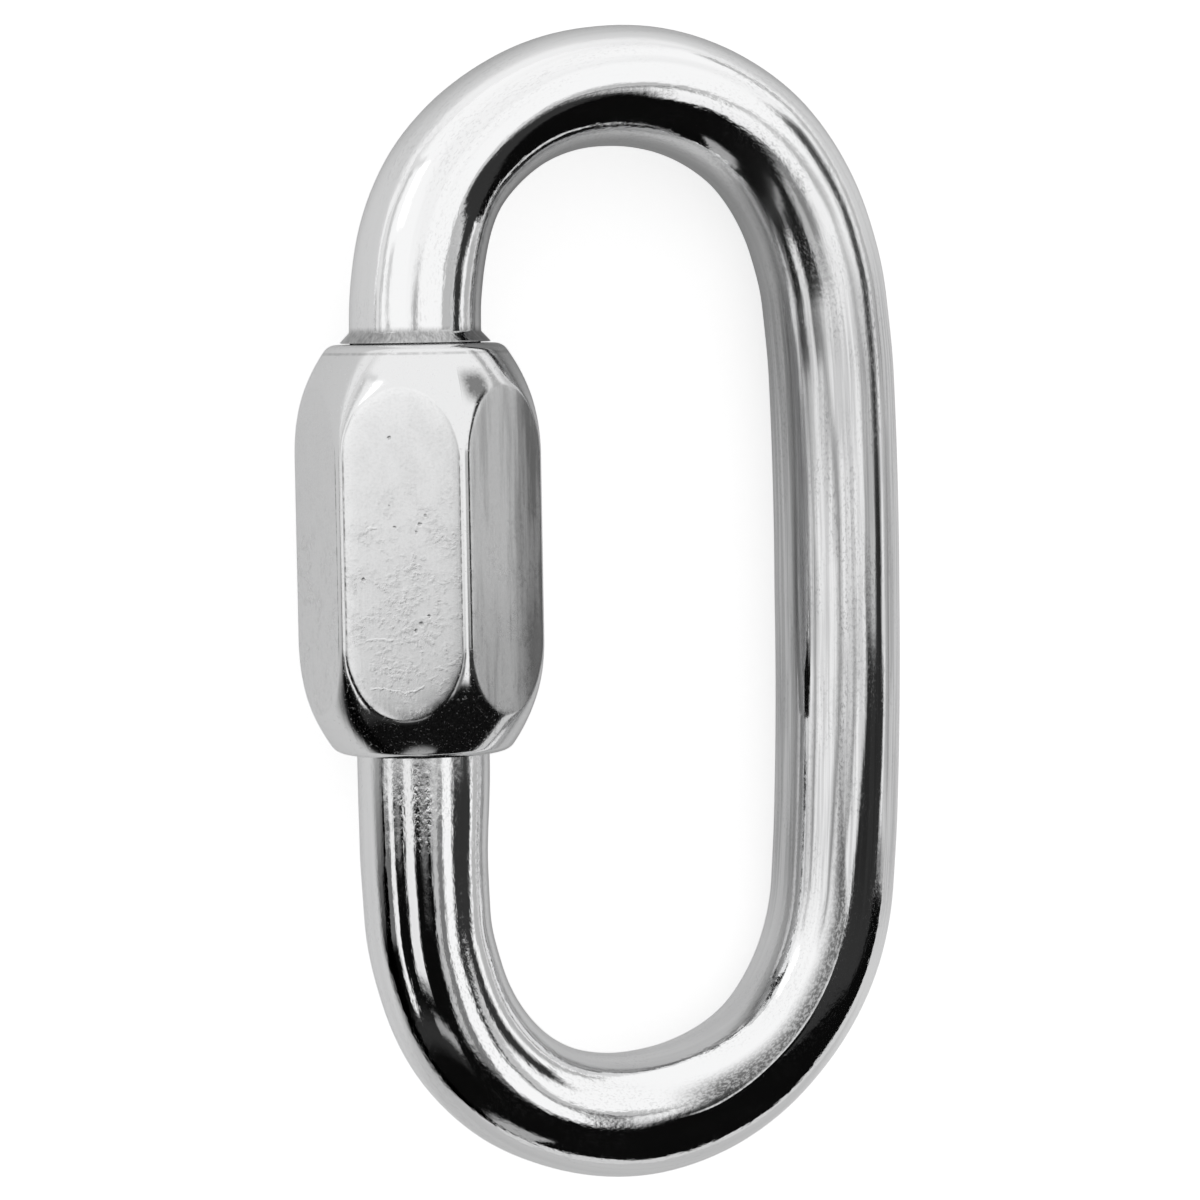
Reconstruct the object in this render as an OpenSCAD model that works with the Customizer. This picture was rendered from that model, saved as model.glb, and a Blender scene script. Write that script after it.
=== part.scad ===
// Oval chain quick link: a bent steel rod with a gate closed by a hexagonal sleeve nut.
// Millimetres. The link lies at rest on the floor, its long axis along Y, the nut on the -X side.

/* [Rod] */
// Diameter of the bent rod
rod_d = 10; // [8:0.5:12]
// Length of the eye, inside, from bow to bow
eye_length = 70; // [62:1:100]
// Inside bend radius on the nut side
leg_bend_inside = 12; // [9:0.5:15]
// Inside bend radius on the back side
back_bend_inside = 13; // [9:0.5:16]
// Angle through which each half of the back limb bows outwards
back_bow = 4; // [2:0.5:8]

/* [Gate] */
// Straight rod between the upper bend and the seat of the closed nut
seat_drop = 2.5; // [1.5:0.5:6]
// Length of the upper threaded end, from its seat to its tip
upper_end = 4.8; // [3:0.1:6]
// Clear gap between the two tips
gate_gap = 10.2; // [6:0.1:12]
// Length of the lower threaded end
lower_end = 13; // [8:0.5:14]
// How far the thread's crest stands above the rod
thread_rise = 0.5; // [0.3:0.1:0.8]
// How far the seat collar stands above the rod
collar_rise = 1; // [0.9:0.1:1.5]
// Length of the collar's taper
collar_taper = 0.8; // [0.5:0.1:1.2]
// Chamfer on the tips
tip_chamfer = 0.8; // [0.3:0.1:1.5]

/* [Sleeve nut] */
// Plain skirt of the nut below the lower thread
nut_skirt = 3; // [2:0.5:5]
// Wall of the nut at the middle of a flat
nut_wall = 2.75; // [2.2:0.05:3.5]
// How far the turned corners stand beyond the flats
corner_rise = 1.1; // [0.7:0.05:1.2]
// Turn of the closed nut from corner-up, about the leg
nut_turn = -1; // [-5:0.5:5]
// Radial clearance between the thread's crest and the bore
bore_clearance = 0.1; // [0.05:0.05:0.3]
// Gap between the collar's seat and the closed nut
seat_gap = 0.1; // [0.05:0.05:0.3]
// Radius of the turned shoulder at each end
shoulder_r = 14; // [11:0.5:18]
// Length of the turned shoulder
shoulder_length = 8.5; // [7:0.5:10]
// Rounding between the shoulder and the end face
end_round = 1.2; // [0.8:0.1:1.5]
// Chamfer of the bore's lower mouth
mouth_chamfer = 0.2; // [0.1:0.05:0.3]

/* [Hidden] */
$fn = 72;

// Bent rod, drawn flat in the XY plane with the leg's axis on the Y axis
rod_r = rod_d / 2;
half_length = eye_length / 2 + rod_r;
leg_bend_r = leg_bend_inside + rod_r;
back_bend_r = back_bend_inside + rod_r;
leg_half = half_length - leg_bend_r;
back_centre_y = half_length - back_bend_r;
back_limb_r = (back_centre_y + back_bend_r * sin(back_bow)) / sin(back_bow);
back_limb_x = leg_bend_r + (back_bend_r - back_limb_r) * cos(back_bow);
back_x = back_limb_x + back_limb_r;

// Gate, from the seat downwards
end_r = rod_r + thread_rise;
collar_r = rod_r + collar_rise;
seat_y = leg_half - seat_drop;
upper_tip_y = seat_y - upper_end;
lower_tip_y = upper_tip_y - gate_gap;
lower_thread_y = lower_tip_y - lower_end;

// Sleeve nut
nut_top_y = seat_y - seat_gap;
nut_length = nut_top_y - lower_thread_y + nut_skirt;
nut_centre_y = nut_top_y - nut_length / 2;
bore_r = end_r + bore_clearance;
flat_r = bore_r + nut_wall;
corner_r = flat_r + corner_rise;

// Rest on the floor: the nut's lowest corner and the back limb touch it.
// The reach of the nut's section falls off to either side of a corner's turned band.
hex_step = 60;
corner_band = hex_step / 2 - acos(flat_r / corner_r);
function nut_reach(off_corner) = corner_r * cos(max(0, abs(off_corner) - corner_band));
function settled_tilt(tilt, rounds) = rounds == 0 ? tilt
    : settled_tilt(asin((nut_reach(tilt + nut_turn) - rod_r) / back_x), rounds - 1);
rest_tilt = settled_tilt(0, 8);
leg_height = nut_reach(rest_tilt + nut_turn);
nut_side = nut_reach(hex_step / 2 - rest_tilt - nut_turn);
rest_shift = (nut_side - rod_r - back_x * cos(rest_tilt)) / 2;

// Lays the flat link down on the floor, centred on the origin
module at_rest() {
    translate([rest_shift, 0, leg_height]) rotate([0, rest_tilt, 0]) children();
}

// Round shape turned about the leg's axis from [radius, y] points
module turned_on_leg() {
    rotate([-90, 0, 0]) rotate_extrude() children();
}

// Moves in a round step and a small remainder, so that neighbouring curves meet without a gap
place_step = 0.01;
function round_step(v) = [for (x = v) round(x / place_step) * place_step];
module moved(v) {
    translate(round_step(v)) translate(v - round_step(v)) children();
}

// Stretch of rod bent about a centre, between two angles
module bent_rod(centre_x, centre_y, bend_r, from, to) {
    moved([centre_x, centre_y, 0]) rotate_extrude(angle = to - from, start = from)
        moved([bend_r, 0, 0]) circle(r = rod_r);
}

// Upper leg: straight rod, seat collar and the short threaded end
module upper_leg() {
    turned_on_leg() polygon([
        [0, upper_tip_y], [end_r - tip_chamfer, upper_tip_y], [end_r, upper_tip_y + tip_chamfer],
        [end_r, seat_y], [collar_r, seat_y], [rod_r, seat_y + collar_taper],
        [rod_r, leg_half], [0, leg_half]
    ]);
}

// Lower leg: straight rod and the long threaded end
module lower_leg() {
    turned_on_leg() polygon([
        [0, -leg_half], [rod_r, -leg_half], [rod_r, lower_thread_y - thread_rise],
        [end_r, lower_thread_y], [end_r, lower_tip_y - tip_chamfer],
        [end_r - tip_chamfer, lower_tip_y], [0, lower_tip_y]
    ]);
}

// Bow at one end: tight bend on the nut side, wider bend on the back side
module bow() {
    bent_rod(leg_bend_r, leg_half, leg_bend_r, 90, 180);
    bent_rod(leg_bend_r, back_centre_y, back_bend_r, back_bow, 90);
}

module link_body() {
    color([0.80, 0.81, 0.82]) at_rest() {
        upper_leg();
        lower_leg();
        bow();
        mirror([0, 1, 0]) bow();
        bent_rod(back_limb_x, 0, back_limb_r, -back_bow, back_bow);
    }
}

// Turned outline of one end of the nut: long shoulder, rounded edge and end face
module nut_end_outline() {
    half = nut_length / 2;
    shoulder_x = corner_r - shoulder_r;
    shoulder_y = half - shoulder_length;
    round_y = half - end_round;
    round_x = shoulder_x + sqrt(pow(shoulder_r - end_round, 2) - pow(round_y - shoulder_y, 2));
    meet_y = shoulder_y + shoulder_r * sin(atan2(round_y - shoulder_y, round_x - shoulder_x));
    intersection() {
        moved([shoulder_x, shoulder_y, 0]) circle(r = shoulder_r);
        square([corner_r, meet_y]);
    }
    moved([round_x, round_y, 0]) circle(r = end_round);
    square([round_x, half]);
}

// Whole turned outline: straight side between the two ends
module nut_outline() {
    side = nut_length - 2 * shoulder_length;
    translate([0, -side / 2]) square([corner_r, side]);
    nut_end_outline();
    mirror([0, 1]) nut_end_outline();
}

// Bore with a chamfered lower mouth
module nut_bore() {
    cylinder(r = bore_r, h = nut_length + 2 * bore_r, center = true);
    translate([0, 0, -nut_length / 2])
        cylinder(r1 = bore_r + mouth_chamfer, r2 = bore_r, h = mouth_chamfer);
}

module sleeve_nut() {
    color([0.72, 0.73, 0.74]) at_rest()
        translate([0, nut_centre_y, 0]) rotate([0, nut_turn, 0]) rotate([-90, 0, 0]) difference() {
            intersection() {
                rotate([0, 0, hex_step / 2])
                    cylinder(r = flat_r / cos(hex_step / 2), h = nut_length, center = true, $fn = 6);
                rotate_extrude() nut_outline();
            }
            nut_bore();
        }
}

link_body();
sleeve_nut();
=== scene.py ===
import math

import bpy
import numpy as np
from mathutils import Matrix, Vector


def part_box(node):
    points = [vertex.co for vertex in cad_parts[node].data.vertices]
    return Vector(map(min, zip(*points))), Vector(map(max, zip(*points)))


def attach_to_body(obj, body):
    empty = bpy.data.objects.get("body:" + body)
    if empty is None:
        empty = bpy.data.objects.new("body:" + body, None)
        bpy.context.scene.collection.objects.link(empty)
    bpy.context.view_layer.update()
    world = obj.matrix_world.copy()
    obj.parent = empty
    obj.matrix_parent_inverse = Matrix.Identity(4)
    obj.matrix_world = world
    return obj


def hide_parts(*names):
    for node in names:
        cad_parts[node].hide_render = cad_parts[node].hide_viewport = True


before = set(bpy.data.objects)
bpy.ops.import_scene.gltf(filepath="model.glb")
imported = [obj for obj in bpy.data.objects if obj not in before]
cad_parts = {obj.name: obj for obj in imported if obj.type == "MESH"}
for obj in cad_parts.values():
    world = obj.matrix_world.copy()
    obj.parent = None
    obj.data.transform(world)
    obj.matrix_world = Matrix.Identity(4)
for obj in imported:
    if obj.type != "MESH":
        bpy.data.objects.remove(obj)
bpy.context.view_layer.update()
mm = 0.001
print("frame:", ", ".join(sorted(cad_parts)))

# How the link lies, in millimetres. The nut's box is centred on the straight leg that carries it.
nutLow, nutHigh = (np.array(corner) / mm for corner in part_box("sleeve_nut"))
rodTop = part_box("link_body")[1][1] / mm
legX, nutMiddle, legZ = (nutLow + nutHigh) / 2
nutTop = nutHigh[1]

rod = {
    "radius": 5.0,
    "legBend": 17.0,       # bend radius on the nut side, at the middle of the rod
    "backBend": 18.0,      # the same on the back side
    "backBow": 4.0,        # degrees by which each half of the back limb bows outwards
    # share of its thickness that the rod keeps in the plane of the bends, by stretch and part of the stretch:
    # 0 upper leg, 1 and 2 upper bow, 3 back limb, 4 and 5 lower bow,
    # 6 lower leg with its swelling towards the nut
    "kept": [
        (0.8, 1.0), (1.2, 0.985), (1.4, 0.918), (1.65, 0.888), (1.9, 0.91), (2.1, 0.942), (2.4, 0.96),
        (2.8, 0.975), (3.1, 0.986), (3.5, 0.99), (3.9, 0.976), (4.2, 0.958), (4.5, 0.903), (4.75, 0.963),
        (4.95, 0.98), (5.25, 0.93), (5.6, 0.966), (6.0, 0.958), (6.1, 0.965), (6.21, 0.976), (6.3, 1.0),
        (6.38, 1.01), (6.5, 1.01),
    ],
    # how far the middle of the rod lies inside the ideal line, by the same places
    "inward": [
        (0.9, 0.0), (1.08, 0.13), (1.2, 0.0), (1.38, -0.28), (1.6, -0.11), (1.95, 0.12), (2.2, -0.05),
        (2.48, -0.22), (2.65, -0.03), (2.85, 0.14), (3.1, -0.25), (3.5, -0.05), (3.9, -0.15), (4.1, -0.06),
        (4.35, -0.1), (4.57, -0.22), (4.9, -0.11), (5.15, -0.1), (5.38, -0.19), (5.6, 0.0), (5.82, 0.28),
        (6.0, 0.05), (6.15, -0.14), (6.3, -0.04), (6.36, 0.0),
    ],
    "blend": 5.0,          # length over which those blend
    "bulge": 0.5,          # share of a strong thinning that comes out above and below
    "strongBelow": 0.955,  # kept share below which a thinning is strong
    "seatGap": 0.1,        # between the closed nut and the collar's seat
    "collar": 5.75,        # radius of the seat collar
    "collarTaper": 0.8,
    "upperEnd": 4.8,       # from the seat to the upper tip
    "gateGap": 10.2,
    "lowerEnd": 13.0,      # threaded length below the lower tip
    "tipChamfer": 0.8,
    "columns": 96,
    "ringStep": 0.7,
    "ringsPerTurn": 12,
}
thread = {
    "pitch": 1.0,
    "rodRoot": 4.95,
    "rodCrest": 5.5,
    "nutCrest": 5.1,
    "nutRoot": 5.6,
    "crestFlat": 0.12,     # share of the wave that is cut flat at each end
    "runOut": 0.5,         # length over which the rod's thread fades
}

# Bends of the rod seen flat: the leg on the y axis, the back limb on the +x side
topY = rodTop - rod["radius"]
legHalf = topY - rod["legBend"]
bowAngle = math.radians(rod["backBow"])
limbRadius = (topY - rod["backBend"] + rod["backBend"] * math.sin(bowAngle)) / math.sin(bowAngle)
backX = rod["legBend"] + (rod["backBend"] - limbRadius) * math.cos(bowAngle) + limbRadius
tilt = math.asin((legZ - rod["radius"]) / backX)   # the nut props up its side of the link

# Places along the leg
seatY = nutTop + rod["seatGap"]
upperTip = seatY - rod["upperEnd"]
lowerTip = upperTip - rod["gateGap"]
threadFoot = lowerTip - rod["lowerEnd"]


def toWorld(flat):
    # turns the flat link by the tilt about its leg, sets the leg in place and changes to metres
    x, y, z = np.moveaxis(flat, -1, 0)
    cosT, sinT = math.cos(tilt), math.sin(tilt)
    return np.stack([x * cosT + z * sinT + legX, y, z * cosT - x * sinT + legZ], -1) * mm


def smooth(low, high, value):
    # soft step: 0 below low, 1 above high, with level ends
    t = np.clip((value - low) / (high - low), 0, 1)
    return t * t * (3 - 2 * t)


def threadShape(y, turn):
    # one right-hand thread: a triangle wave of the height in pitches less the turn in full turns,
    # cut flat at both ends
    wave = np.abs(2 * np.mod(y / thread["pitch"] - turn / (2 * np.pi), 1) - 1)
    cut = thread["crestFlat"]
    return np.clip((wave - cut) / (1 - 2 * cut), 0, 1)


def gridObject(name, points, poles=(), ringClosed=False, values=None):
    # rows by columns of points, closed round the columns, with a fan to a pole at the start and the end,
    # or closed the other way too
    rows, columns = points.shape[:2]
    index = np.arange(rows * columns).reshape(rows, columns)
    if ringClosed:
        index = np.vstack([index, index[:1]])
    side = np.roll(index, -1, axis=1)
    faces = np.stack([index[:-1], side[:-1], side[1:], index[1:]], -1).reshape(-1, 4).tolist()
    corners = np.vstack([points.reshape(-1, 3), *poles])
    if len(poles) > 0:
        faces += np.stack([np.full(columns, rows * columns), side[0], index[0]], -1).tolist()
    if len(poles) > 1:
        faces += np.stack([index[-1], side[-1], np.full(columns, rows * columns + 1)], -1).tolist()
    mesh = bpy.data.meshes.new(name)
    mesh.from_pydata(corners.tolist(), [], faces)
    for title, data in (values or {}).items():
        kind = "FLOAT_VECTOR" if data.ndim == 2 else "FLOAT"
        field = "vector" if data.ndim == 2 else "value"
        ended = np.concatenate([data, data[:1], data[-1:]]) if len(poles) else data
        mesh.attributes.new(title, kind, "POINT").data.foreach_set(field, ended.astype(np.float32).ravel())
    mesh.polygons.foreach_set("use_smooth", np.ones(len(mesh.polygons), bool))
    mesh.update()
    piece = bpy.data.objects.new(name, mesh)
    bpy.context.scene.collection.objects.link(piece)
    print("piece:", name, len(mesh.vertices), "points,", len(mesh.polygons), "faces")
    return piece


# Bent rod

def rodPath(s):
    # centre line by length: straight leg, two bends, bowed back limb, two bends, straight leg.
    # Along each stretch the heading falls by length over radius, and the point runs round that arc.
    quarter = math.pi / 2
    stretches = [
        (legHalf - upperTip, 0),
        (rod["legBend"] * quarter, rod["legBend"]),
        (rod["backBend"] * (quarter - bowAngle), rod["backBend"]),
        (limbRadius * 2 * bowAngle, limbRadius),
        (rod["backBend"] * (quarter - bowAngle), rod["backBend"]),
        (rod["legBend"] * quarter, rod["legBend"]),
        (legHalf + lowerTip, 0),
    ]
    x, y, heading = np.zeros_like(s), np.zeros_like(s), np.zeros_like(s)
    startX, startY, startHeading, done = 0.0, upperTip, quarter, 0.0
    ends = [0.0]       # lengths at which the stretches meet
    for length, radius in stretches:
        run = np.clip(s - done, 0, None)
        inside = s >= done - 1e-9
        if radius:
            turned = startHeading - run / radius
            stepX = radius * (math.sin(startHeading) - np.sin(turned))
            stepY = radius * (np.cos(turned) - math.cos(startHeading))
            endHeading = startHeading - length / radius
            endX = startX + radius * (math.sin(startHeading) - math.sin(endHeading))
            endY = startY + radius * (math.cos(endHeading) - math.cos(startHeading))
        else:
            turned = startHeading + 0 * run
            stepX, stepY = run * math.cos(startHeading), run * math.sin(startHeading)
            endHeading = startHeading
            endX = startX + length * math.cos(startHeading)
            endY = startY + length * math.sin(startHeading)
        x = np.where(inside, startX + stepX, x)
        y = np.where(inside, startY + stepY, y)
        heading = np.where(inside, turned, heading)
        startX, startY, startHeading, done = endX, endY, endHeading, done + length
        ends.append(done)
    return x, y, heading, ends


def rodRings():
    # one row for each ring: length along the rod, plain radius, thread height
    # and the most that the radius may be
    radius, collar, taper = rod["radius"], rod["collar"], rod["collarTaper"]
    root, crest = thread["rodRoot"], thread["rodCrest"]
    total = rodPath(np.zeros(1))[3][-1]
    tipEdge = crest - rod["tipChamfer"]
    free = 99.0
    fine = thread["pitch"] / rod["ringsPerTurn"]
    runOut = thread["runOut"]
    closeIn = np.array([0.42, 0.15, 0.02])     # rings lie closer towards an edge, so that it shades crisply
    rows = []

    def put(s, plain, height=0.0, most=free):
        row = np.broadcast_arrays(np.asarray(s, float), plain, height, most)
        rows.append(np.stack(row, -1).reshape(-1, 4))

    faceSteps = np.array([0.35, 0.7, 0.93, 0.99])
    # upper tip, thread, relief groove and seat
    put(0.0, faceSteps * tipEdge)
    seat = seatY - upperTip
    s = np.arange(0.03, seat - runOut, fine)
    put(s, root, (crest - root) * (1 - smooth(seat - 2 * runOut, seat - runOut, s)), tipEdge + s)
    put(seat - closeIn, root)
    put(seat, np.array([root + 0.04, (root + collar) / 2, collar - 0.14]))
    # collar with a small broken edge, then its taper and the foot of the taper
    slope = (collar - radius) / taper
    put(seat + 0.025, collar - 0.06)
    s = np.concatenate([[0.07], np.linspace(0.12, taper - 0.05, 7)])
    put(seat + s, collar - slope * s)
    put(seat + taper + np.array([-0.01, 0.05, 0.15]), radius + np.array([0.024, 0.004, 0.0]))
    # plain rod round to the lower thread
    low = total - (lowerTip - threadFoot)
    start, stop = seat + taper + 0.4, low - runOut - 0.2
    put(np.linspace(start, stop, int((stop - start) / rod["ringStep"])), radius)
    s = np.arange(low - runOut, total - 0.03, fine)
    swell = smooth(low - runOut, low + runOut, s)
    put(s, radius + (root - radius) * swell, (crest - root) * swell, tipEdge + total - s)
    put(total, faceSteps[::-1] * tipEdge)
    return np.vstack(rows)


def makeRod():
    # ring of points at each place: out from the bend's centre by the cosine and up from the link's plane
    # by the sine. In a bend the part in the plane is less, the part across it a little more, and the thread
    # adds its height by turn and place.
    s, plain, height, most = rodRings().T
    x, y, heading, ends = rodPath(s)

    def alongRod(table):
        # straight lines between the places, smoothed by a bell-shaped window
        fineStep = 0.1
        window = np.hanning(int(rod["blend"] / fineStep))
        fineS = np.arange(-rod["blend"], ends[-1] + rod["blend"], fineStep)
        station, value = np.array(table).T
        level = np.interp(fineS, np.interp(station, np.arange(len(ends)), ends), value)
        level = np.convolve(np.pad(level, len(window), "edge"), window / window.sum(), "same")
        return np.interp(s, fineS, level[len(window):-len(window)])

    kept, inward = alongRod(rod["kept"]), alongRod(rod["inward"])
    across = 1 + rod["bulge"] * np.clip(rod["strongBelow"] - kept, 0, None)
    around = np.linspace(0, 2 * np.pi, rod["columns"], endpoint=False)
    turn = np.arctan2(-np.cos(around), np.sin(around))
    radius = plain[:, None] + height[:, None] * threadShape(y[:, None], turn[None])
    radius = np.minimum(radius, most[:, None])
    out = radius * np.cos(around) * kept[:, None] - inward[:, None]
    points = np.stack([
        x[:, None] - np.sin(heading)[:, None] * out,
        y[:, None] + np.cos(heading)[:, None] * out,
        radius * np.sin(around) * across[:, None],
    ], -1)
    straight = np.stack(np.broadcast_arrays(
        rod["radius"] * np.cos(around), rod["radius"] * np.sin(around), s[:, None]), -1)
    tips = np.array([[0, upperTip, 0], [0, lowerTip, 0]])
    values = {"straightRod": straight.reshape(-1, 3)}
    return gridObject("bent_rod", toWorld(points), toWorld(tips), values=values)


bentRod = makeRod()
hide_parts("link_body")
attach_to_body(bentRod, "link")

# Sleeve nut

nut = {
    "turn": -1.0,            # degrees from corner-up
    "flat": 8.35,            # from the axis to a flat
    "corner": 9.45,          # radius of the turned corners
    "shoulder": 14.0,        # radius of the shoulder's curve
    "shoulderLength": 8.5,
    "endRound": 1.2,
    "edge": 0.08,            # how far the edges between faces are broken
    "skirt": 5.0,            # plain bore below the thread
    "mouth": 0.5,            # taper that leads into the thread
    "rowsPerTurn": 8,
}
nutHalf = (nutHigh[1] - nutLow[1]) / 2
shoulderX = nut["corner"] - nut["shoulder"]
shoulderY = nutHalf - nut["shoulderLength"]
roundY = nutHalf - nut["endRound"]
roundX = shoulderX + math.sqrt((nut["shoulder"] - nut["endRound"]) ** 2 - (roundY - shoulderY) ** 2)
roundStart = math.atan2(roundY - shoulderY, roundX - shoulderX)
meetY = shoulderY + nut["shoulder"] * math.sin(roundStart)
bandEdge = math.degrees(math.acos(nut["flat"] / nut["corner"]))


def softLess(a, b):
    # the lesser of two radii with the edge between them broken
    return (a + b - np.sqrt((a - b) ** 2 + 4 * nut["edge"] ** 2)) / 2


def turnedRadius(y):
    # turned outline: the corner radius in the middle, then the shoulder's arc towards each end
    rise = np.clip(np.abs(y) - shoulderY, 0, None)
    return shoulderX + np.sqrt(nut["shoulder"] ** 2 - rise ** 2)


def nutColumns():
    # degrees from a face's middle, close together at the edges of the turned corner bands
    near = np.array([0.06, 0.16, 0.35, 0.7])
    flatPart = np.concatenate([np.linspace(0, bandEdge - 1.4, 11), bandEdge - near[::-1], [bandEdge]])
    bandPart = np.concatenate([bandEdge + near, [30.0]])
    half = np.concatenate([flatPart, bandPart])
    local = np.concatenate([-half[:0:-1], half])[1:]
    face = np.arange(6)[:, None]
    angle = (nut["turn"] + 30 + 60 * face + local[None]).ravel()
    return np.tile(local, 6), angle, np.repeat(np.arange(6), len(local))


def makeNut():
    # section carried round the axis: outside from the lower to the upper end, over the end,
    # down the bore and round. Outside, the radius is the lesser of the flat's distance over the cosine
    # and the turned outline.
    local, angle, face = nutColumns()
    hexRadius = nut["flat"] / np.cos(np.radians(local))
    turn = np.radians(angle)
    crease = shoulderY + np.sqrt(np.clip(
        nut["shoulder"] ** 2 - (np.minimum(hexRadius, nut["corner"]) - shoulderX) ** 2, 0, None))
    near = np.array([0.05, 0.12, 0.25, 0.5])
    below, above = 0.8, 0.7        # the rows further off keep this far from the crease
    lift = np.concatenate([-near[::-1], [0], near])[:, None]
    flatRows = np.linspace(0, 1, 10)[1:, None] * (crease - below)[None]
    edgeRows = crease[None] + lift
    shoulderRows = (crease + above)[None] + np.linspace(0, 1, 12)[:, None] * (meetY - crease - above)[None]
    upperY = np.vstack([flatRows, edgeRows, shoulderRows])
    outsideY = np.vstack([-upperY[::-1], 0 * crease[None], upperY])
    turned = turnedRadius(outsideY)
    outsideR = softLess(hexRadius[None] + 0 * outsideY, turned)
    milled = smooth(-0.02, 0.06, turned - hexRadius[None])

    def level(y, radius):
        # rows that are the same at every column
        pair = np.broadcast_arrays(np.atleast_1d(y)[:, None], np.atleast_1d(radius)[:, None], 0 * turn[None])
        return pair[0], pair[1]

    arc = np.linspace(roundStart, math.pi / 2, 10)[1:]
    roundRows = level(roundY + nut["endRound"] * np.sin(arc), roundX + nut["endRound"] * np.cos(arc))
    crest, root = thread["nutCrest"], thread["nutRoot"]
    lip = 0.06
    faceRows = level(np.array([nutHalf, nutHalf, nutHalf - lip]), np.array([roundX - 0.12, root + lip, root]))
    # bore: thread from the upper mouth to the skirt, with a taper at each end of it
    step = thread["pitch"] / nut["rowsPerTurn"]
    boreY = np.arange(nutHalf - 0.15, nut["skirt"] - nutHalf - nut["mouth"], -step)
    fromSkirt = boreY + nutHalf - nut["skirt"]
    allowed = smooth(0, nut["mouth"], nutHalf - boreY) * smooth(0, nut["mouth"], fromSkirt)
    shape = threadShape(boreY[:, None] + nutMiddle, turn[None])
    boreR = root - (root - crest) * allowed[:, None] * (1 - shape)
    skirtRows = level(np.array([nut["skirt"] * 0.6, nut["skirt"] * 0.25, 0.28]) - nutHalf, root)
    mouthRows = level(np.array([0.2, 0.05, 0.0, 0.0]) - nutHalf,
                      np.array([root, root + 0.15, root + 0.2, roundX - 0.05]))
    allY = np.vstack([outsideY, roundRows[0], faceRows[0], np.broadcast_to(boreY[:, None], boreR.shape),
                      skirtRows[0], mouthRows[0], -roundRows[0][::-1]])
    allR = np.vstack([outsideR, roundRows[1], faceRows[1], boreR,
                      skirtRows[1], mouthRows[1], roundRows[1][::-1]])
    flatMask = np.zeros_like(allR)
    flatMask[:len(milled)] = milled
    points = np.stack([allR * np.sin(turn), allY + nutMiddle, allR * np.cos(turn)], -1)
    across = allR * np.sin(np.radians(local))
    flatPlace = np.stack(np.broadcast_arrays(across, allY, face[None].astype(float)), -1)
    return gridObject("hex_nut", toWorld(points), ringClosed=True,
                      values={"milled": flatMask.ravel(), "flatPlace": flatPlace.reshape(-1, 3)})


hexNut = makeNut()
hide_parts("sleeve_nut")
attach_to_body(hexNut, "nut")


# Shader sums written as Python
class Wire:
    # a shader value in a node tree: operators add Math nodes, add() makes any other node
    def __init__(self, tree, socket=None):
        self.tree, self.socket = tree, socket

    def add(self, kind, settings=None, inputs=None, out=0):
        node = self.tree.nodes.new(kind)
        for key, value in (settings or {}).items():
            setattr(node, key, value)
        for key, value in (inputs or {}).items():
            if isinstance(value, Wire):
                self.tree.links.new(value.socket, node.inputs[key])
            else:
                node.inputs[key].default_value = value
        return Wire(self.tree, node.outputs[out])

    def sibling(self, out):
        # another output of the same node
        return Wire(self.tree, self.socket.node.outputs[out])

    def maths(self, operation, *values):
        return self.add("ShaderNodeMath", {"operation": operation}, dict(enumerate(values)))

    def blend(self, share, first, second):
        # colour between two: the colour sockets of a Mix node are 6 and 7
        return self.add("ShaderNodeMix", {"data_type": "RGBA"}, {0: share, 6: first, 7: second}, out=2)

    def __add__(self, other):
        return self.maths("ADD", self, other)

    def __sub__(self, other):
        return self.maths("SUBTRACT", self, other)

    def __rsub__(self, other):
        return self.maths("SUBTRACT", other, self)

    def __mul__(self, other):
        return self.maths("MULTIPLY", self, other)

    def __abs__(self):
        return self.maths("ABSOLUTE", self)

    __radd__, __rmul__ = __add__, __mul__

    def step(self, low, high):
        # soft step from 0 at low to 1 at high
        return self.add("ShaderNodeMapRange", {"interpolation_type": "SMOOTHSTEP"},
                        {"Value": self, "From Min": low, "From Max": high})


def newMaterial(name):
    material = bpy.data.materials.new(name)
    material.use_nodes = True
    tree = material.node_tree
    return material, Wire(tree), tree.nodes["Principled BSDF"]


def attach(wire, socket):
    wire.tree.links.new(wire.socket, socket)


def setMetal(start, shader, tint, roughness, height):
    # bare metal with a small relief, its height in millimetres
    shader.inputs["Metallic"].default_value = 1.0
    attach(tint, shader.inputs["Base Color"])
    attach(roughness, shader.inputs["Roughness"])
    bump = start.add("ShaderNodeBump", {}, {"Height": height, "Strength": 1.0, "Distance": mm})
    attach(bump, shader.inputs["Normal"])


def stretched(start, vector, across, along, detail, axis=2):
    # noise with a grain: cells of one size across the grain and another along it, in millimetres
    scale = [1 / across] * 3
    scale[axis] = 1 / along
    place = start.add("ShaderNodeVectorMath", {"operation": "MULTIPLY"}, {0: vector, 1: scale})
    inputs = {"Vector": place, "Scale": 1.0, "Detail": detail, "Roughness": 0.55}
    return start.add("ShaderNodeTexNoise", {}, inputs)


def patch(start, place, centre, half, soft):
    # box-shaped cover: 1 within the half sizes of the centre, falling to 0 over the softness.
    # The vector sockets of a Map Range node are 6 to 10.
    off = start.add("ShaderNodeVectorMath", {"operation": "SUBTRACT"}, {0: place, 1: centre})
    off = start.add("ShaderNodeVectorMath", {"operation": "ABSOLUTE"}, {0: off})
    cover = start.add("ShaderNodeMapRange", {"data_type": "FLOAT_VECTOR", "interpolation_type": "SMOOTHSTEP"},
                      {6: off, 7: [size - soft for size in half], 8: [size + soft for size in half],
                       9: (1, 1, 1), 10: (0, 0, 0)}, out="Vector")
    x = start.add("ShaderNodeSeparateXYZ", {}, {0: cover})
    return x * x.sibling("Y") * x.sibling("Z")


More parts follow.
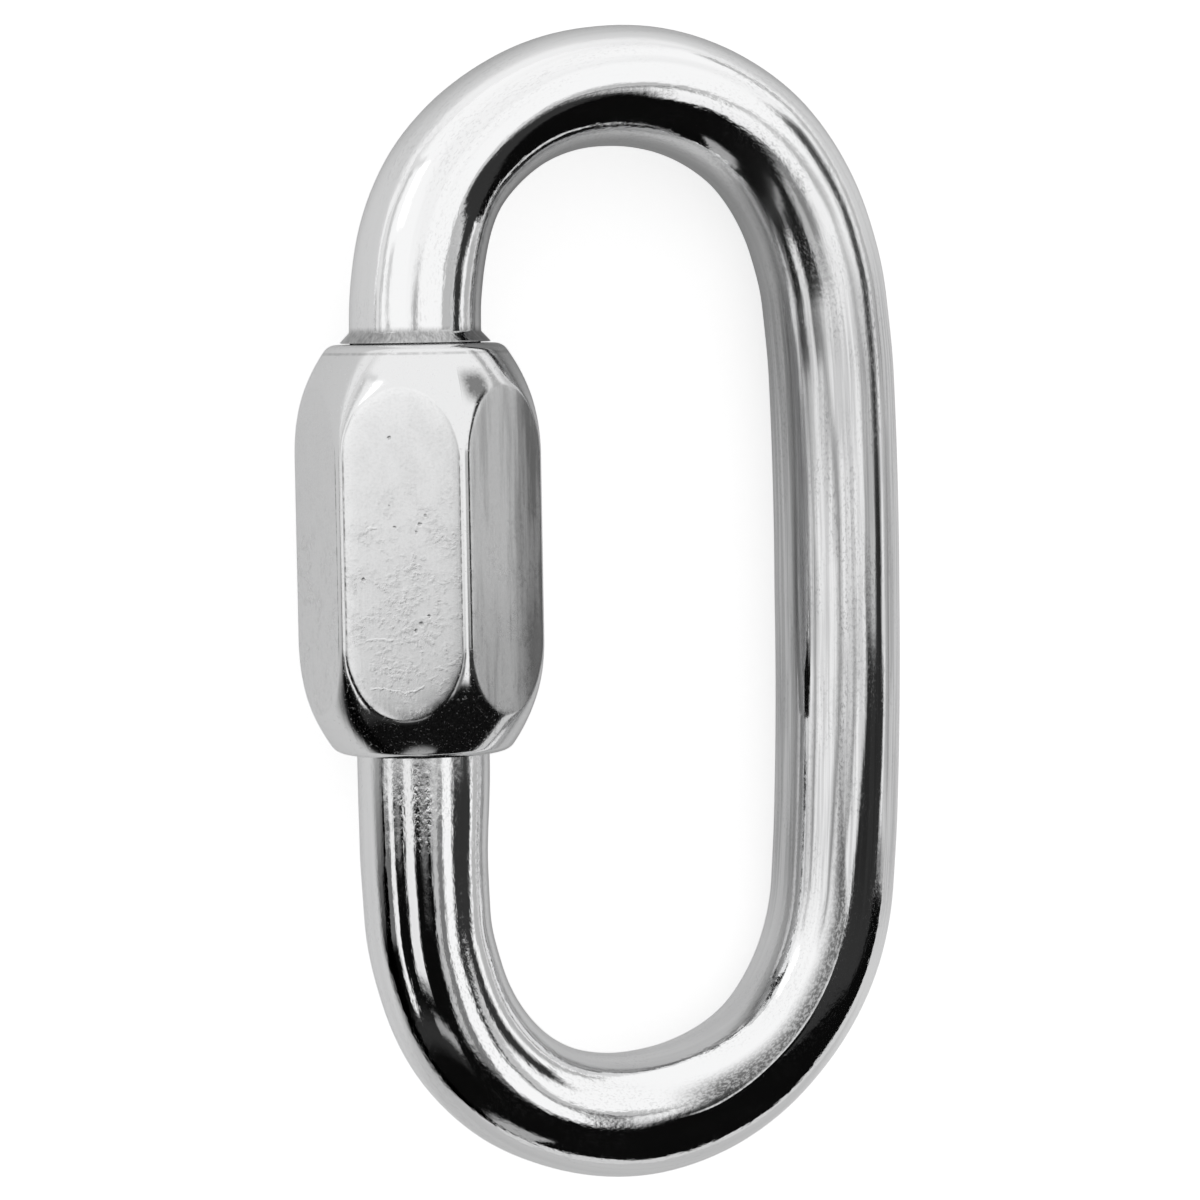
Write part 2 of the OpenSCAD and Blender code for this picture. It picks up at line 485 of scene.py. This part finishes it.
polish = {
    "colour": (0.88, 0.882, 0.885, 1),
    "dull": (0.50, 0.50, 0.505, 1),
    # colour of the painted shade in the collar's taper and of the painted dark reflection on the rubbed strip
    "paintedShade": (0.14, 0.14, 0.14, 1),
    "roughness": 0.04,
    "speckRoughness": 0.11,        # added in the worn specks
    "matteRoughness": 0.09,        # added next to the nut
    "lines": (0.35, 16.0),         # drawn lines: cell across and along the rod, mm
    "lineHeight": 0.005,
    "bands": (1.3, 45.0),          # soft tone of the drawing
    "peel": (0.42, 0.8),           # waviness of the polish
    "peelHeight": 0.010,
    "grit": (0.16, 0.32),          # worn specks
    "gritHeight": 0.006,
    "cloud": (2.0, 7.0),           # where the wear gathers
    "shadeReach": (0.7, 1.3),      # painted shade in the collar's taper, from the seat: full as far as the first, gone at the second
    "matteReach": (3.5, 0.5),      # from the foot of the closed nut: where it starts and is full
    # shares of the dull colour: in the bands, in the specks, all over the back limb and in its drawn lines
    "bandDull": 0.18,
    "speckDull": 0.25,
    "limbDull": 0.25,
    "lineDull": 0.5,
    # places along the rod, as in the rod's own tables: from where to where each grows and fades.
    # What goes across the rod is in millimetres out from its middle.
    "limb": (2.75, 3.1, 3.9, 4.25),        # back limb, smoother but duller
    "limbCalm": 0.75,
    "haze": (2.2, 2.6, 3.2, 3.5),          # hazy polish where the upper bow runs into it
    "hazeRoughness": 0.10,
    "pressed": (3.55, 4.25, 4.7, 5.35),    # pressed flatter by the bending, leaning outwards: lower bow
    "pressedAcross": (-4.2, 1.8),
    "pressedHeight": 0.95,
    "pressedAbove": (2.4, 2.8, 2.95, 3.4),     # the same on the upper bow
    "pressedAboveAcross": (-4.6, -0.6),
    "pressedAboveHeight": 0.5,
    "rubbedStripAndReflection": (3.2, 4.0, 4.75, 5.0),       # strip that the bending tool rubbed dull, with a raised edge; its dark colour is a painted dark reflection
    "rubbedAcross": (-2.9, -1.6),
    "rubbedRoughness": 0.12,
    # share of the dark colour in the strip: a painted dark reflection
    "paintedReflection": 0.97,
    "edge": -1.9,                          # where its edge lies on the back limb
    # from where to where along the rod the edge moves outwards, and how far
    "edgeSteps": [(3.8, 4.2, 0.9), (4.5, 4.9, 0.8)],
    "ridge": (4.15, 4.3, 4.8, 4.95),
    "ridgeHalf": 0.22,
    "ridgeHeight": 0.025,
}


def polishedSteel():
    material, start, shader = newMaterial("polishedSteel")
    along = start.add("ShaderNodeAttribute", {"attribute_name": "straightRod"}, out="Vector")
    outwards = start.add("ShaderNodeSeparateXYZ", {}, {0: along})
    length = outwards.sibling("Z")
    lines = stretched(start, along, *polish["lines"], 3.0)
    bands = stretched(start, along, *polish["bands"], 2.0)
    peel = stretched(start, along, *polish["peel"], 1.0)
    grit = stretched(start, along, *polish["grit"], 2.0)
    cloud = stretched(start, along, *polish["cloud"], 3.0)
    worn = cloud.step(0.38, 0.64)
    specks = worn * grit.step(0.48, 0.68)
    # by length from the upper tip: the collar's taper gets painted shade,
    # and the rod is dull beside the foot of the closed nut
    seat = seatY - upperTip
    full, gone = polish["shadeReach"]
    paintedShade = length.step(seat - 0.1, seat + 0.1) * length.step(seat + gone, seat + full)
    ends = rodPath(np.zeros(1))[3]
    nutFoot = ends[-1] - (lowerTip - nutLow[1])
    far, close = polish["matteReach"]
    matte = length.step(nutFoot - far, nutFoot - close)

    def lengthAt(places):
        # length along the rod of places that are given by stretch and part of the stretch
        return np.interp(places, np.arange(len(ends)), ends).tolist()

    def stretch(name):
        # 1 between the two middle places, 0 outside the outer two
        a, b, c, d = lengthAt(polish[name])
        return length.step(a, b) * length.step(d, c)

    # the strip lies inside the top of the rod, thin on the back limb and wider on the bow
    edgeAt = polish["edge"]
    for before, after, shift in polish["edgeSteps"]:
        edgeAt = edgeAt + shift * length.step(*lengthAt((before, after)))
    inward = edgeAt - outwards
    patchy = 0.65 + 0.35 * grit.step(0.35, 0.6)
    # the rubbed strip is rougher, and its darkening is a painted dark reflection
    rubbedStripAndReflection = stretch("rubbedStripAndReflection") * inward.step(-0.1, 0.25) * outwards.step(*polish["rubbedAcross"]) * patchy
    ridge = abs(inward).step(polish["ridgeHalf"], 0.0) * stretch("ridge")
    darkened = (bands.step(0.45, 0.72) * polish["bandDull"] + specks * polish["speckDull"]
              + stretch("limb") * (polish["limbDull"] + polish["lineDull"] * lines.step(0.4, 0.6)))
    roughness = (polish["roughness"] + polish["speckRoughness"] * specks + polish["matteRoughness"] * matte
                 + polish["hazeRoughness"] * stretch("haze") + polish["rubbedRoughness"] * rubbedStripAndReflection)
    # painted shade in the collar's taper, mottled by the grit, and painted dark reflection on the rubbed
    # strip
    paintedShadeShare = paintedShade * (0.2 + 0.8 * grit) + rubbedStripAndReflection * polish["paintedReflection"]
    tint = start.blend(paintedShadeShare, start.blend(darkened, polish["colour"], polish["dull"]), polish["paintedShade"])
    waves = polish["peelHeight"] * peel + polish["gritHeight"] * grit
    height = (polish["lineHeight"] * lines
              + waves * (0.3 + 0.7 * worn) * (1 - polish["limbCalm"] * stretch("limb"))
              + polish["ridgeHeight"] * ridge)
    for name in ("pressed", "pressedAbove"):
        lean = 0.5 - outwards.step(*polish[name + "Across"])
        height = height + polish[name + "Height"] * stretch(name) * lean
    setMetal(start, shader, tint, roughness, height)
    return material


satin = {
    "colour": (0.86, 0.862, 0.865, 1),
    "dark": (0.20, 0.20, 0.20, 1),
    "flatRoughness": 0.22,
    "cloudRoughness": 0.10,        # how far it varies from place to place
    "wornRoughness": 0.08,         # added where the flats are worn
    "turnedRoughness": 0.09,
    "speckRoughness": 0.22,        # added in fine specks on the turned part
    "grain": (0.25, 5.0),          # milling lines: cell across and along the nut, mm
    "streaks": (0.9, 12.0),
    "cloud": (1.6, 2.2),           # where the wear gathers
    "dents": (0.45, 0.45),
    "fine": (0.2, 0.2),
    "grainHeight": 0.0025,
    "dentHeight": 0.006,
    "scratchHeight": 0.007,
    "pitDepth": 0.02,
    # shares of the dark tone: in dents, all over the flats and in pits; as painted shade, on all flats but
    # the pitted one, and on the flat beside it in streaks, towards its far edge and towards the foot
    "dentSoil": 0.12,
    "fineSoil": 0.07,
    "pitSoil": 0.35,
    "sideShade": 0.09,
    "streakShade": 0.28,
    "farEdgeShade": 0.66,
    "footShade": 0.22,
    # and on the turned part: all over and in the line round the upper end
    "turnedDarkening": 0.10,
    "ringSoil": 0.35,
    # and along the edges of the flats: all over and in dents, as far as the edges reach
    "edgeSoil": 0.25,
    "edgeDentSoil": 0.6,
    "edgeEnds": (8.5, 6.5),
    "face": 5,                     # the flat that the pits and scratches below are on
    "pits": [                      # across and along from the nut's middle, radius
        (-0.84, 8.6, 0.19), (1.76, 2.8, 0.17), (1.33, 2.2, 0.2), (1.05, 1.6, 0.17), (-0.56, 2.0, 0.15),
        (-3.0, -1.9, 0.19), (1.33, -5.2, 0.26), (0.9, -5.7, 0.2), (1.9, -4.6, 0.18), (-0.95, 3.6, 0.1),
    ],
    "shoulderShade": (-2.75, 12.3, 0, 0.9, 0.95),       # painted shade in a patch on the upper shoulder: across, along, face and half sizes
    "endLine": 0.66,               # from the upper end to the fine turned line round it
    "scratches": [                 # across, along, half length each way
        (0.07, -3.0, 0.12, 0.4), (-1.9, -6.4, 1.05, 0.07), (-0.6, -10.1, 2.0, 0.06), (-2.3, 1.9, 0.4, 0.08),
    ],
}


def satinSteel():
    material, start, shader = newMaterial("satinSteel")
    place = start.add("ShaderNodeTexCoord", out="Object")
    millimetres = start.add("ShaderNodeVectorMath", {"operation": "SCALE"}, {0: place, "Scale": 1 / mm})
    milled = start.add("ShaderNodeAttribute", {"attribute_name": "milled"}, out="Fac")
    onFlat = start.add("ShaderNodeAttribute", {"attribute_name": "flatPlace"}, out="Vector")
    flatAcross = start.add("ShaderNodeSeparateXYZ", {}, {0: onFlat})
    flatAlong, faceIndex = flatAcross.sibling("Y"), flatAcross.sibling("Z")
    grain = stretched(start, millimetres, *satin["grain"], 3.0, axis=1)
    streak = stretched(start, millimetres, *satin["streaks"], 3.0, axis=1)
    cloud = stretched(start, millimetres, *satin["cloud"], 4.0, axis=1)
    dents = stretched(start, millimetres, *satin["dents"], 2.0)
    fine = stretched(start, millimetres, *satin["fine"], 2.0)
    # the scratches wander with the cloud
    sway = start.add("ShaderNodeCombineXYZ", {}, {"Y": (cloud - 0.5) * 1.6})
    wavy = start.add("ShaderNodeVectorMath", {"operation": "ADD"}, {0: onFlat, 1: sway})
    pits, lines = 0, 0
    for across, along, radius in satin["pits"]:
        gap = start.add("ShaderNodeVectorMath", {"operation": "DISTANCE"},
                        {0: onFlat, 1: (across, along, satin["face"])}, out="Value")
        pits = pits + (1 - (gap + 0.3 * (fine - 0.5)).step(radius * 0.2, radius))
    for across, along, halfWide, halfHigh in satin["scratches"]:
        lines = lines + patch(start, wavy, (across, along, satin["face"]), (halfWide, halfHigh, 0.5), 0.06)
    worn = cloud.step(0.38, 0.62) * (1 - flatAlong.step(-1.0, 7.0) * 0.8)    # more wear on the lower half
    nextFlat = abs(faceIndex).step(0.5, 0.2)                                # the flat beside the pitted one, darkened with painted shade
    sideFlats = faceIndex.step(4.8, 4.4)                                    # all but the pitted one, darkened a little with painted shade
    flatRough = (satin["flatRoughness"] + satin["cloudRoughness"] * (cloud - 0.5)
                 + satin["wornRoughness"] * worn * fine)
    turnedRough = satin["turnedRoughness"] + satin["speckRoughness"] * fine.step(0.55, 0.72)
    roughness = milled * flatRough + (1 - milled) * turnedRough
    # painted shade on the flat beside the pitted one: in streaks, towards its far edge and towards the foot
    darkened = (streak.step(0.42, 0.68) * satin["streakShade"] + flatAcross.step(0.0, 3.4) * satin["farEdgeShade"]
              + flatAlong.step(0.0, -8.0) * satin["footShade"])
    soilAndShade = (worn * dents.step(0.4, 0.7) * satin["dentSoil"] + fine.step(0.4, 0.75) * satin["fineSoil"]
            + sideFlats * satin["sideShade"] + nextFlat * darkened + pits * satin["pitSoil"])
    # on the turned part: painted shade in a patch on the upper shoulder, the line round the upper end and
    # dirt along the edges of the flats
    across, along, face, halfWide, halfHigh = satin["shoulderShade"]
    shoulderShade = patch(start, onFlat, (across, along, face), (halfWide, halfHigh, 0.3), 0.7) * (0.75 + 1.1 * fine)
    ring = abs(flatAlong - (nutHalf - satin["endLine"])).step(0.16, 0.02) * dents.step(0.15, 0.6)
    edge = (milled * (1 - milled) * 4 * (satin["edgeSoil"] + satin["edgeDentSoil"] * dents.step(0.35, 0.6))
            * abs(flatAlong).step(*satin["edgeEnds"]))
    # darkening of the turned part: all over, the painted shade patch on the upper shoulder and the line round
    # the upper end
    turnedDarkening = satin["turnedDarkening"] + shoulderShade + ring * satin["ringSoil"]
    tint = start.blend(milled * soilAndShade + (1 - milled) * turnedDarkening + edge, satin["colour"], satin["dark"])
    height = (satin["grainHeight"] * grain + satin["dentHeight"] * dents.step(0.42, 0.72) * worn * milled
              + satin["scratchHeight"] * lines * fine - satin["pitDepth"] * pits)
    setMetal(start, shader, tint, roughness, height)
    return material


bentRod.data.materials.append(polishedSteel())
hexNut.data.materials.append(satinSteel())
print("materials:", ", ".join(sorted(material.name for material in bpy.data.materials)))

# Camera, as the photograph was taken: turned about the link's own axes, at a measured distance
shot = {
    "pitch": 4.0,
    "yaw": 24.96,
    "roll": 0.97,
    "pivot": (backX / 2, 0.0, 0.0),            # middle of the flat link
    "pivotInView": (2.58, -0.17, -329.73),     # where the camera sees it: right, up and towards the viewer
    "focalPixels": 4242.6,
    "imagePixels": 1200,
    "sensor": 36.0,
}
viewTurn = (Matrix.Rotation(math.radians(shot["roll"]), 3, "Z")
            @ Matrix.Rotation(math.radians(shot["pitch"]), 3, "X")
            @ Matrix.Rotation(math.radians(shot["yaw"]), 3, "Y"))
toView = np.array(viewTurn @ Matrix.Rotation(-tilt, 3, "Y"))
pivotWorld = toWorld(np.array(shot["pivot"])) / mm
eye = pivotWorld - toView.T @ np.array(shot["pivotInView"])
camera = bpy.data.objects.new("camera", bpy.data.cameras.new("camera"))
camera.data.sensor_width = shot["sensor"]
camera.data.lens = shot["focalPixels"] * shot["sensor"] / shot["imagePixels"]
camera.data.clip_start, camera.data.clip_end = 0.01, 20
camera.matrix_world = Matrix.Translation(eye * mm) @ Matrix(toView.T.tolist()).to_4x4()
bpy.context.scene.collection.objects.link(camera)
bpy.context.scene.camera = camera
print("camera at", np.round(eye, 1), "mm")

# Floor: pale, white to the camera, and it keeps the shadow
floorLook = {
    "colour": (0.78, 0.78, 0.78, 1),
    "black": (0.0, 0.0, 0.0, 1),
    "reach": 4.0,
    "toCamera": 0.66,
    "inEye": 0.15,           # glow as the metal mirrors it: inside the eye, more beside the link
    "beside": 0.07,          # and more beyond its upper end
    "farOff": 0.28,
    "linkHalf": (0.025, 0.045),
    "besideFrom": (0.6, 1.2),        # in half sizes of the link: where beside starts and is full
    "leftEnds": (0.038, 0.056),      # metres to the left where the dark opening takes over from the floor
    "openingFrom": (0.005, -0.042),  # and towards the foot, where that starts and is full
    "topEnds": (0.055, 0.10),        # where the glow beyond the upper end starts and is full
    # middle, half sizes, softness and depth of each shade: beside the leg, under the top bow
    # and beyond the foot
    "shades": [
        (-0.008, 0.0, 0.009, 0.033, 0.004, 0.3),
        (0.004, 0.034, 0.02, 0.016, 0.012, 0.45),
        (0.0, -0.075, 0.05, 0.03, 0.006, 0.18),
    ],
}


def makeFloor():
    # disc as rings by columns: radius times the sine and cosine of the angle, at height zero
    angle = np.linspace(2 * np.pi, 0, 64, endpoint=False)
    radius = np.array([0.1, 0.5, floorLook["reach"]])[:, None]
    flat = np.stack(np.broadcast_arrays(radius * np.cos(angle), radius * np.sin(angle), 0.0), -1)
    floor = gridObject("floor", flat, np.zeros((1, 3)))
    material, start, shader = newMaterial("paleFloor")
    shader.inputs["Roughness"].default_value = 0.9
    shader.inputs["Specular IOR Level"].default_value = 0.0
    shader.inputs["Emission Strength"].default_value = 1.0
    seen = start.add("ShaderNodeLightPath", out="Is Camera Ray")
    mirrored = start.add("ShaderNodeLightPath", out="Is Glossy Ray")
    # distance from the middle, in half sizes of the link, and the places far to the left
    # and beyond the upper end
    halfX, halfY = floorLook["linkHalf"]
    spot = start.add("ShaderNodeTexCoord", out="Object")
    x = start.add("ShaderNodeSeparateXYZ", {}, {0: spot})
    y = x.sibling("Y")
    scaled = start.add("ShaderNodeVectorMath", {"operation": "MULTIPLY"},
                       {0: spot, 1: (1 / halfX, 1 / halfY, 0)})
    away = start.add("ShaderNodeVectorMath", {"operation": "LENGTH"}, {0: scaled}, out="Value")
    farLeft = (0 - x).step(*floorLook["leftEnds"])
    lower = y.step(*floorLook["openingFrom"])
    bright = y.step(*floorLook["topEnds"])
    glow = (floorLook["inEye"] + floorLook["beside"] * away.step(*floorLook["besideFrom"])
            + floorLook["farOff"] * bright)
    # share of the floor that the metal mirrors as lit: none in the opening, less in each shade
    clear = 1 - farLeft * lower
    for middleX, middleY, wide, high, soft, depth in floorLook["shades"]:
        clear = clear * (1 - patch(start, spot, (middleX, middleY, 0), (wide, high, 9), soft) * depth)
    hidden = mirrored * (1 - clear)
    attach(seen * floorLook["toCamera"] + mirrored * glow * (1 - hidden), shader.inputs["Emission Color"])
    attach(start.blend(hidden, floorLook["colour"], floorLook["black"]), shader.inputs["Base Color"])
    floor.data.materials.append(material)


makeFloor()

# Studio: a white tent with a dark opening towards the foot of the picture.
# Each panel: degrees across and up in the picture, half width, half height, softness, level.
studio = {
    "tent": 1.05,
    "opening": 0.003,
    "openingEdge": (-8.6, -10.6),     # degrees up where it starts and is full
    "soft": 0.6,                      # the tent's light on what isn't mirrored
    "panels": [
        (-72, 50, 9, 55, 9, 0.8),      # sides of the tent
        (-62, 18, 2.5, 24, 2.5, 0.62),
        (-76, -4, 6, 9, 3, 0.42),
        (-72, -15, 8, 5, 3, 0.17),
        (-40, -42, 40, 5, 4, 0.03),    # faint light deep in the opening
        (-59, -22, 4.5, 15, 2, 1.0),   # lit windows in it, on the left
        (-25.5, -19, 8.5, 11, 2.5, 0.92),
        (-12, -38, 13, 2.5, 2, 0.35),
        (-65, -93, 115, 18, 3, 0.4),   # low light for the far side of the link
        (71, -12, 21, 7, 1.5, 0.035),  # shade far to the right
        (21, -19, 5, 11, 3, 0.55),     # lit windows on the right
        (31, -19, 5, 11, 3, 0.2),
        (45, -17, 9, 9.5, 3, 1.05),
        (1, -4, 4, 7, 5, 0.45),        # posts above the windows
        (-46, -6, 3, 5, 4, 0.42),
        (112, 22, 15, 31, 3, 0.5),     # grey and dark screens on the right
        (60, -2, 10, 3, 2, 0.55),
        (80, 4, 8, 20, 4, 0.035),
        (-42, 29, 6, 10, 2, 1.6),      # lamp and its stand
        (-48, 6, 3, 7, 3, 0.7),
        (-62, 41, 16, 2, 2, 0.8),      # frame of the tent on the left
    ],
}


def makeStudio():
    world = bpy.data.worlds.new("studio")
    bpy.context.scene.world = world
    world.use_nodes = True
    start = Wire(world.node_tree)
    ray = start.add("ShaderNodeTexCoord", out="Generated")
    right, up, near = (start.add("ShaderNodeVectorMath", {"operation": "DOT_PRODUCT"},
                                 {0: ray, 1: tuple(axis)}, out="Value") for axis in toView)
    across = start.maths("ARCTAN2", right, near) * math.degrees(1)
    rise = start.maths("ARCSINE", up) * math.degrees(1)
    dark, bright = studio["opening"], studio["tent"]
    opening = rise.step(*studio["openingEdge"])
    level = bright + (dark - bright) * opening
    place = start.add("ShaderNodeCombineXYZ", {}, {"X": across, "Y": rise})
    for x, y, halfWide, halfHigh, soft, shade in studio["panels"]:
        cover = patch(start, place, (x, y, 0), (halfWide, halfHigh, 99), soft)
        level = start.add("ShaderNodeMix", {}, {0: cover, 2: level, 3: shade})
    mirrored = start.add("ShaderNodeBackground", {}, {"Color": level, "Strength": 1.0})
    soft = start.add("ShaderNodeBackground", {}, {"Color": (1, 1, 1, 1), "Strength": studio["soft"]})
    white = start.add("ShaderNodeBackground", {}, {"Color": (1, 1, 1, 1), "Strength": 1.0})
    path = start.add("ShaderNodeLightPath", out="Is Glossy Ray")
    lit = start.add("ShaderNodeMixShader", {}, {0: path, 1: soft, 2: mirrored})
    path = start.add("ShaderNodeLightPath", out="Is Camera Ray")
    shown = start.add("ShaderNodeMixShader", {}, {0: path, 1: lit, 2: white})
    attach(shown, world.node_tree.nodes["World Output"].inputs["Surface"])


makeStudio()
bpy.context.scene.view_settings.view_transform = "Standard"
print("studio: white tent,", len(studio["panels"]), "panels")
